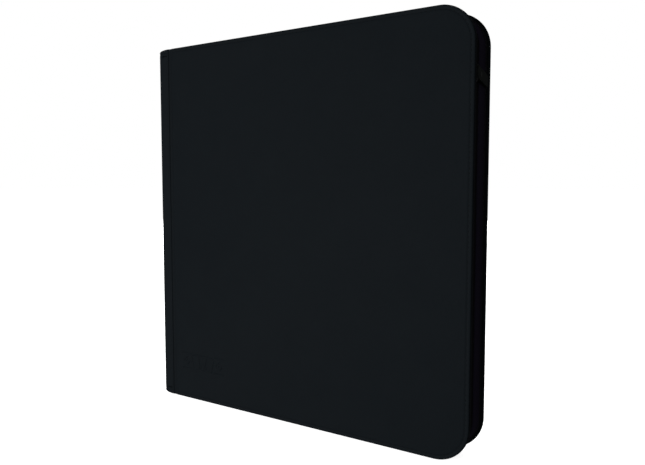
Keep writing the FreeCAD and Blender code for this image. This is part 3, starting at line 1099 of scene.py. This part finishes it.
@dataclass
class SideWall:
    """Woven wall between the covers with cross ribs, its seam tape and the end tabs."""

    sizes: BinderSizes
    rib_pitch: float = 1.55
    rib_h: float = 0.22
    samples: int = 4
    columns: int = 7
    flare: float = 0.35
    hem: float = 0.9
    hem_share: float = 0.12

    def build(self) -> None:
        """Make the ribbed wall and dress the tapes."""
        low, high = node_box("side_wall")
        recess_out = self.sizes.x_open - high.x
        recess_in = self.sizes.x_open - node_box("back_zip_tape")[1].x
        run = OpeningRun(low.x, self.sizes.x_open, self.sizes.height, self.sizes.corner_r, recess_out)
        maker = MeshMaker()
        count = round(run.total / self.rib_pitch) * self.samples
        width = high.y - low.y
        rings = []
        for i in range(count + 1):
            s = run.total * i / count
            rib = self.rib_h * (0.5 - 0.5 * math.cos(2 * math.pi * i / self.samples))
            ring = []
            for k in range(self.columns + 1):
                t = k / self.columns
                edge = 1 - smooth_step(0.0, self.hem_share, t)
                recess = recess_out + self.flare * (1 - t) + edge * self.hem - rib * (1 - edge)
                ring.append(run.at(s, recess, low.y + width * t))
            ring.append(run.at(s, recess_in - 0.02, high.y))
            ring.append(run.at(s, recess_in - 0.02, low.y))
            rings.append(ring)
        maker.loft(rings)
        wall = maker.piece("side_wall_weave", WALL_WEAVE, 60.0)
        mount_piece(wall, "back_cover", "wall_weave", "side_wall")
        dress_node("wall_binding", SEAM_TAPE)
        dress_node("zip_end_tabs", SEAM_TAPE)


@dataclass
class ZipHalf:
    """One tape with its coil."""

    sizes: BinderSizes
    side: Side
    slider_z: float
    pitch: float = 1.5
    wire: float = 0.27
    steps: int = 9
    coil_t: float = 1.4
    mesh_reach: float = 0.3
    parting: float = 0.45
    parting_run: float = 8.0
    end_margin: float = 2.0
    tape_t: float = 0.55
    tape_cord: float = 0.22

    def build(self, chain_y: float) -> None:
        """Make the tape and the coil.

        Args:
            chain_y: Middle of the closed chain.
        """
        word = self.side.word
        coil_low, coil_high = node_box(f"{word}_zip_coil")
        tape_low, tape_high = node_box(f"{word}_zip_tape")
        recess = self.sizes.x_open - coil_high.x
        run = OpeningRun(coil_low.x, self.sizes.x_open, self.sizes.height, self.sizes.corner_r, recess)
        self.make_tape(word, run, tape_low, tape_high)
        self.make_coil(word, run, coil_low, coil_high, chain_y)
        dress_node(f"{word}_zip_stops", SLIDER_ENAMEL)

    def make_tape(self, word: str, run: OpeningRun, low: Vector, high: Vector) -> None:
        """Tape with a rounded edge beside the chain and a woven cord under the coil."""
        recess = self.sizes.x_open - high.x
        thick = self.tape_t
        near, far = (high.y, low.y) if self.side is Side.FRONT else (low.y, high.y)
        toward = 1.0 if far > near else -1.0
        section = [(recess + thick * 0.5, near), (recess + 0.05, near + toward * 0.15)]
        section += [(recess - self.tape_cord * math.sin(math.pi * k / 6), near + toward * (2.1 + 0.2 * k))
                    for k in range(7)]
        section += [(recess, far), (recess + thick, far), (recess + thick, near + toward * 0.15)]
        rows = round(run.total / 3.0)
        maker = MeshMaker()
        maker.loft([[run.at(run.total * i / rows, d, y) for d, y in section] for i in range(rows + 1)])
        tape = maker.piece(f"{word}_zip_tape_weave", ZIP_TAPE)
        mount_piece(tape, self.side.body, "zip_tape", f"{word}_zip_tape")
        if self.side is Side.BACK:
            flat = (abs(far - near) * MM, run.total * MM)

    def make_coil(self, word: str, run: OpeningRun, low: Vector, high: Vector, chain_y: float) -> None:
        """Continuous nylon coil, meshed below the slider and parted above it."""
        recess_top = self.sizes.x_open - high.x
        rise = self.coil_t / 2 - self.wire
        middle = recess_top + self.coil_t / 2
        far = low.y if self.side is Side.FRONT else high.y
        open_near = high.y if self.side is Side.FRONT else low.y
        inward = 1.0 if self.side is Side.FRONT else -1.0
        shut_near = chain_y + inward * self.mesh_reach
        s_slider = run.height_to_run(self.slider_z)
        phase = 0.0 if self.side is Side.FRONT else math.pi
        turns = int((run.total - 2 * self.end_margin) / self.pitch)
        path = []
        for i in range(turns * self.steps + 1):
            turn = i / self.steps
            s = self.end_margin + turn * self.pitch
            parted = smooth_step(s_slider + 1.0 - self.parting_run, s_slider + 1.0, s)
            near = shut_near + (open_near - shut_near) * parted * self.parting
            half = abs(near - far) / 2 - self.wire
            centre = (near + far) / 2
            angle = 2 * math.pi * turn + phase
            squared_y = math.copysign(abs(math.cos(angle)) ** 0.75, math.cos(angle))
            path.append(run.at(s, middle - rise * math.sin(angle), centre + inward * half * squared_y))
        maker = MeshMaker()
        maker.tube(path, self.wire, 5)
        coil = maker.piece(f"{word}_zip_coil_wire", COIL_NYLON, 80.0)
        mount_piece(coil, self.side.body, "zip_coil", f"{word}_zip_coil")


@dataclass
class Slider:
    """Zip slider with its bail and the leather pull."""

    sizes: BinderSizes
    wing_t: float = 0.8
    crown_t: float = 0.18
    crown_half: float = 1.6
    inner_half: float = 2.4
    flange_recess: float = 4.7
    flange_t: float = 1.0
    edge: float = 0.28
    layer_t: float = 0.65
    droop_deg: float = 12.3
    stitch: StitchRow = StitchRow(pitch=2.3, length=1.75, radius=0.16, sides=5, stations=5)

    def plate(self, maker: MeshMaker, x0: float, x1: float, low: Point2, high: Point2, radius: float) -> None:
        """Flat plate with rounded corners and softened edges, standing in the YZ plane."""
        outline = PanelOutline(low[0], high[0], low[1], high[1], hinge_r=radius, open_r=radius,
                               hinge_both=True, line_step=2.5, arc_steps=8)
        e = min(self.edge, (x1 - x0) * 0.4)
        part = e * 0.3
        section = [(e, x0), (part, x0 + part), (0.0, x0 + e), (0.0, x1 - e), (part, x1 - part), (e, x1)]
        rings = []
        for inset, x in section:
            points, _, _ = outline.ring(inset)
            rings.append([(x, u, v) for u, v in points])
        maker.loft(rings)

    def build(self) -> None:
        """Make the slider, the bail and the pull."""
        low, high = node_box("slider_body")
        bail_low, bail_high = node_box("slider_bail")
        y_mid = (bail_low.y + bail_high.y) / 2
        maker = MeshMaker()
        self.plate(maker, high.x - self.wing_t, high.x, (low.y, low.z), (high.y, high.z), 1.5)
        crown = self.crown_half
        self.plate(maker, high.x - 0.05, high.x + self.crown_t, (y_mid - crown, low.z + crown),
                   (y_mid + crown, high.z - crown), 0.9)
        self.plate(maker, low.x, low.x + self.wing_t, (y_mid - self.inner_half, low.z), (high.y, high.z), 1.4)
        flange_x = self.sizes.x_open - self.flange_recess
        self.plate(maker, flange_x, high.x - 0.4, (high.y - self.flange_t, low.z + 1.5),
                   (high.y, high.z - 1.5), 0.3)
        body = maker.piece("zip_slider_body", SLIDER_ENAMEL)
        mount_piece(body, "zip_slider", "zip_metal", "slider_body")
        self.bail(high.x, bail_low, bail_high, y_mid)
        self.pull(bail_high, y_mid)
        dress_node("pull_rivet", RIVET_ENAMEL)

    def bail(self, foot_x: float, low: Vector, high: Vector, y: float) -> None:
        """Bent bar on the slider that carries the pull."""
        radius = (high.y - low.y) / 2
        x = high.x - radius
        bend = 0.9
        z0, z1 = low.z + radius, high.z - radius
        path = [(foot_x - 0.3, y, z0)]
        for k in range(7):
            a = math.pi / 2 * k / 6
            path.append((x - bend + bend * math.sin(a), y, z0 + bend - bend * math.cos(a)))
        for k in range(7):
            a = math.pi / 2 * (1 - k / 6)
            path.append((x - bend + bend * math.sin(a), y, z1 - bend + bend * math.cos(a)))
        path.append((foot_x - 0.3, y, z1))
        maker = MeshMaker()
        maker.tube(path, radius, 12)
        bail = maker.piece("zip_slider_bail", SLIDER_ENAMEL, 60.0)
        mount_piece(bail, "zip_slider", "zip_metal", "slider_bail")

    def pull(self, bail_high: Vector, y_bar: float) -> None:
        """Leather strip folded round the bail, stitched along its edges."""
        low, high = node_box("pull_strap")
        x_bar = bail_high.x - 0.45
        y_tip = high.y
        lean = math.tan(math.radians(self.droop_deg))
        half_w = (high.z - low.z - lean * (y_tip - y_bar)) / 2
        z_bar = high.z - half_w
        t = self.layer_t
        eye = 0.53 + t / 2
        y_join = y_bar + 2.4
        path: list[Point2] = []
        for k in range(9):
            path.append((-t / 2 - 0.01, y_tip + (y_join - y_tip) * k / 8))
        for k in range(15):
            a = math.pi * k / 14
            path.append((-eye * math.cos(a), y_bar - eye * math.sin(a)))
        for k in range(9):
            path.append((t / 2 + 0.01, y_join + (y_tip - y_join) * k / 8))
        rings = []
        for i, (x, y) in enumerate(path):
            before, after = path[max(i - 1, 0)], path[min(i + 1, len(path) - 1)]
            dx, dy = after[0] - before[0], after[1] - before[1]
            size = math.hypot(dx, dy)
            nx, ny = dy / size, -dx / size
            ring = []
            tuck = 1.4 * (1 - math.sqrt(max(0.0, 1 - max(0.0, (y - y_tip + 1.5) / 1.5) ** 2)))
            half = half_w - tuck
            centre = z_bar - lean * (y - y_bar)
            for across, through in ((-1, -0.25), (-0.985, -0.5), (0, -0.53), (0.985, -0.5), (1, -0.25),
                                    (1, 0.25), (0.985, 0.5), (0, 0.53), (-0.985, 0.5), (-1, 0.25)):
                off = through * t
                ring.append((x_bar + x + nx * off, y + ny * off, centre + across * half))
            rings.append(ring)
        maker = MeshMaker()
        maker.loft(rings)
        strap = maker.piece("zip_pull_strap", PULL_LEATHER, 50.0)
        mount_piece(strap, "zip_pull", "pull_leather", "pull_strap")
        thread = MeshMaker()

        def place(u: float, v: float, depth: float) -> Point3:
            """Strap coordinates: u from the bar to the tip, v across, depth below the outer face."""
            return (x_bar + t + 0.02 - depth, y_bar + u, z_bar - lean * u + v)

        reach = y_tip - y_bar
        for v in (-half_w + 1.2, half_w - 1.2):
            self.stitch.sew(thread, lambda s, v=v: (2.6 + s, v), reach - 4.4, 0.05, place)
        self.stitch.sew(thread, lambda s: (reach - 1.4, -half_w + 1.6 + s), 2 * half_w - 3.2, 0.05, place)
        mount_piece(thread.piece("zip_pull_stitching", SEWING_THREAD, 80.0), "zip_pull", "pull_leather")


# ------------------------------------------------------------------------------ leaves


@dataclass
class Leaves:
    """The pocket leaves, the comb that grips them and their fixed margins."""

    count: int = 20
    columns: int = 4
    rows: int = 3
    margin: float = 10.0
    weld: float = 3.0
    sheet_t: float = 0.24
    corner: float = 4.0
    mouth: float = 3.2
    notch_r: float = 8.5

    def pocket(self, maker: MeshMaker, low: Point2, high: Point2, face: float, total: float) -> None:
        """One pocket: welded rim, backing pad and front film with its thumb notch."""
        outline = PanelOutline(low[0], high[0], low[1], high[1], hinge_r=1.6, open_r=1.6, hinge_both=True,
                               line_step=30.0, arc_steps=4)
        sheet = self.sheet_t / 2
        top = total / 2
        rings = []
        for inset, y in ((0.0, sheet - 0.02), (0.25, sheet + 0.05), (0.8, top - 0.07), (1.3, top - 0.05)):
            points, _, _ = outline.ring(inset)
            rings.append([(u, face * y, v) for u, v in points])
        maker.loft(rings)
        x0, x1 = low[0] + self.mouth, high[0] - 1.3
        z0, z1 = low[1] + 1.3, high[1] - 1.3
        middle = (z0 + z1) / 2
        edge = [(x0, z1), (x0, middle + self.notch_r)]
        for k in range(1, 12):
            a = math.pi / 2 - math.pi * k / 12
            edge.append((x0 + self.notch_r * math.cos(a) * 0.8, middle + self.notch_r * math.sin(a)))
        edge += [(x0, middle - self.notch_r), (x0, z0), (x1, z0), (x1, z1)]
        maker.loft([[(x, face * (top - 0.05), z) for x, z in edge], [(x, face * top, z) for x, z in edge]])

    def leaf_mesh(self) -> bpy.types.Mesh:
        """Mesh of one leaf about its own middle plane, shared by all of them."""
        low, high = node_box("leaf_01")
        total = high.y - low.y
        maker = MeshMaker()
        c = self.corner
        edge = [(low.x, low.z), (high.x - c, low.z)]
        for k in range(1, 6):
            a = -math.pi / 2 * (1 - k / 6)
            edge.append((high.x - c + c * math.cos(a), low.z + c + c * math.sin(a)))
        edge += [(high.x, low.z + c), (high.x, high.z - c)]
        for k in range(1, 6):
            a = math.pi / 2 * k / 6
            edge.append((high.x - c + c * math.cos(a), high.z - c + c * math.sin(a)))
        edge += [(high.x - c, high.z), (low.x, high.z)]
        half = self.sheet_t / 2
        maker.loft([[(x, -half, z) for x, z in edge], [(x, half, z) for x, z in edge]])
        cell_w = (high.x - low.x - self.margin - self.weld) / self.columns
        cell_h = (high.z - low.z - self.weld) / self.rows
        for face in (-1.0, 1.0):
            for column in range(self.columns):
                for row in range(self.rows):
                    x = low.x + self.margin + self.weld + column * cell_w
                    z = low.z + self.weld + row * cell_h
                    self.pocket(maker, (x, z), (x + cell_w - self.weld, z + cell_h - self.weld), face, total)
        sample = maker.piece("leaf_01_pockets", POCKET_FILM, 30.0)
        mesh = sample.data
        bpy.data.objects.remove(sample)
        return mesh

    def build(self) -> None:
        """Mount the leaves and dress the binding."""
        mesh = self.leaf_mesh()
        for index in range(1, self.count + 1):
            node = f"leaf_{index:02d}"
            low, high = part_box(node)
            leaf = bpy.data.objects.new(f"{node}_pockets", mesh)
            bpy.context.scene.collection.objects.link(leaf)
            leaf.location.y = (low.y + high.y) / 2
            mount_piece(leaf, node, "leaf_film", node)
        dress_node("leaf_margins", CORE_SHEET)
        dress_node("binding_comb", COMB_PLASTIC)
        dress_node("binding_rivets", RIVET_ENAMEL)


# ------------------------------------------------------------------------------ studio


@dataclass
class Studio:
    """Camera, soft lights, white surround and pale floor."""

    lens_mm: float = 35.848
    sensor_mm: float = 36.0
    eye: Point3 = (0.33425, -0.4759, 0.21555)
    pitch_deg: float = 85.755
    yaw_deg: float = 33.314
    backdrop: float = 1.0
    ambient: float = 0.18

    def camera(self) -> None:
        """Stand the camera at its place."""
        data = bpy.data.cameras.new("camera")
        data.lens = self.lens_mm
        data.sensor_width = self.sensor_mm
        data.sensor_fit = "HORIZONTAL"
        data.clip_start = 0.01
        made = bpy.data.objects.new("camera", data)
        made.location = self.eye
        made.rotation_euler = (math.radians(self.pitch_deg), 0.0, math.radians(self.yaw_deg))
        bpy.context.scene.collection.objects.link(made)
        bpy.context.scene.camera = made

    def soft_light(self, name: str, place: Point3, aim: Point3, size: float,
                   watts: float) -> bpy.types.Object:
        """Square soft box aimed at a point."""
        data = bpy.data.lights.new(name, "AREA")
        data.shape = "SQUARE"
        data.size = size
        data.energy = watts
        made = bpy.data.objects.new(name, data)
        made.location = place
        made.rotation_euler = (Vector(aim) - Vector(place)).to_track_quat("-Z", "Y").to_euler()
        bpy.context.scene.collection.objects.link(made)
        return made

    def build(self) -> None:
        """Light the stage."""
        scene = bpy.context.scene
        scene.view_settings.view_transform = "Standard"
        world = bpy.data.worlds.new("white surround")
        world.use_nodes = True
        tree = world.node_tree
        background = tree.nodes["Background"]
        background.inputs[0].default_value = (1.0, 1.0, 1.0, 1.0)
        seen = tree.nodes.new("ShaderNodeLightPath")
        level = tree.nodes.new("ShaderNodeMapRange")
        level.inputs[3].default_value = self.ambient
        level.inputs[4].default_value = self.backdrop
        tree.links.new(seen.outputs["Is Camera Ray"], level.inputs[0])
        tree.links.new(level.outputs[0], background.inputs[1])
        scene.world = world
        middle = (0.0, 0.0, 0.17)
        self.soft_light("key", (-1.35, -2.8, 0.05), middle, 2.2, 212.0)
        self.soft_light("side fill", (2.5, -2.0, 0.5), middle, 1.4, 20.0)
        rear = self.soft_light("rear fill", (-1.4, 2.7, 1.1), middle, 2.2, 190.0)
        rear.visible_glossy = False
        maker = MeshMaker()
        reach = 30000.0
        corners = [(-reach, -reach), (reach, -reach), (reach, reach), (-reach, reach)]
        maker.loft([[(x, y, -12.0) for x, y in corners], [(x, y, -0.6) for x, y in corners]])
        floor = maker.piece("studio_floor", StudioFloor("studio floor"))
        floor.visible_diffuse = False
        floor.visible_glossy = False
        floor.visible_shadow = False
        floor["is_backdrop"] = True


def write_sizes() -> None:
    """Put the frame's box and the finished model's box side by side as plain lists, which are not kept."""
    plain = [[[float(c) for c in corner] for corner in box] for box in (CAD_BOUNDS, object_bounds())]


def main() -> None:
    """Build the binder piece by piece."""
    logging.basicConfig(level=logging.INFO, format="%(message)s")
    studio = Studio()
    studio.camera()
    sizes = BinderSizes.from_frame()
    for side in Side:
        Cover(sizes, side).build()
        HingeGroove(sizes, side).build()
    Spine(sizes).build()
    SideWall(sizes).build()
    bail_low, bail_high = node_box("slider_bail")
    slider_low, slider_high = node_box("slider_body")
    for side in Side:
        half = ZipHalf(sizes, side, slider_z=(slider_low.z + slider_high.z) / 2)
        half.build((bail_low.y + bail_high.y) / 2)
    Slider(sizes).build()
    Leaves().build()
    studio.build()
    write_sizes()


if __name__ == "__main__":
    main()
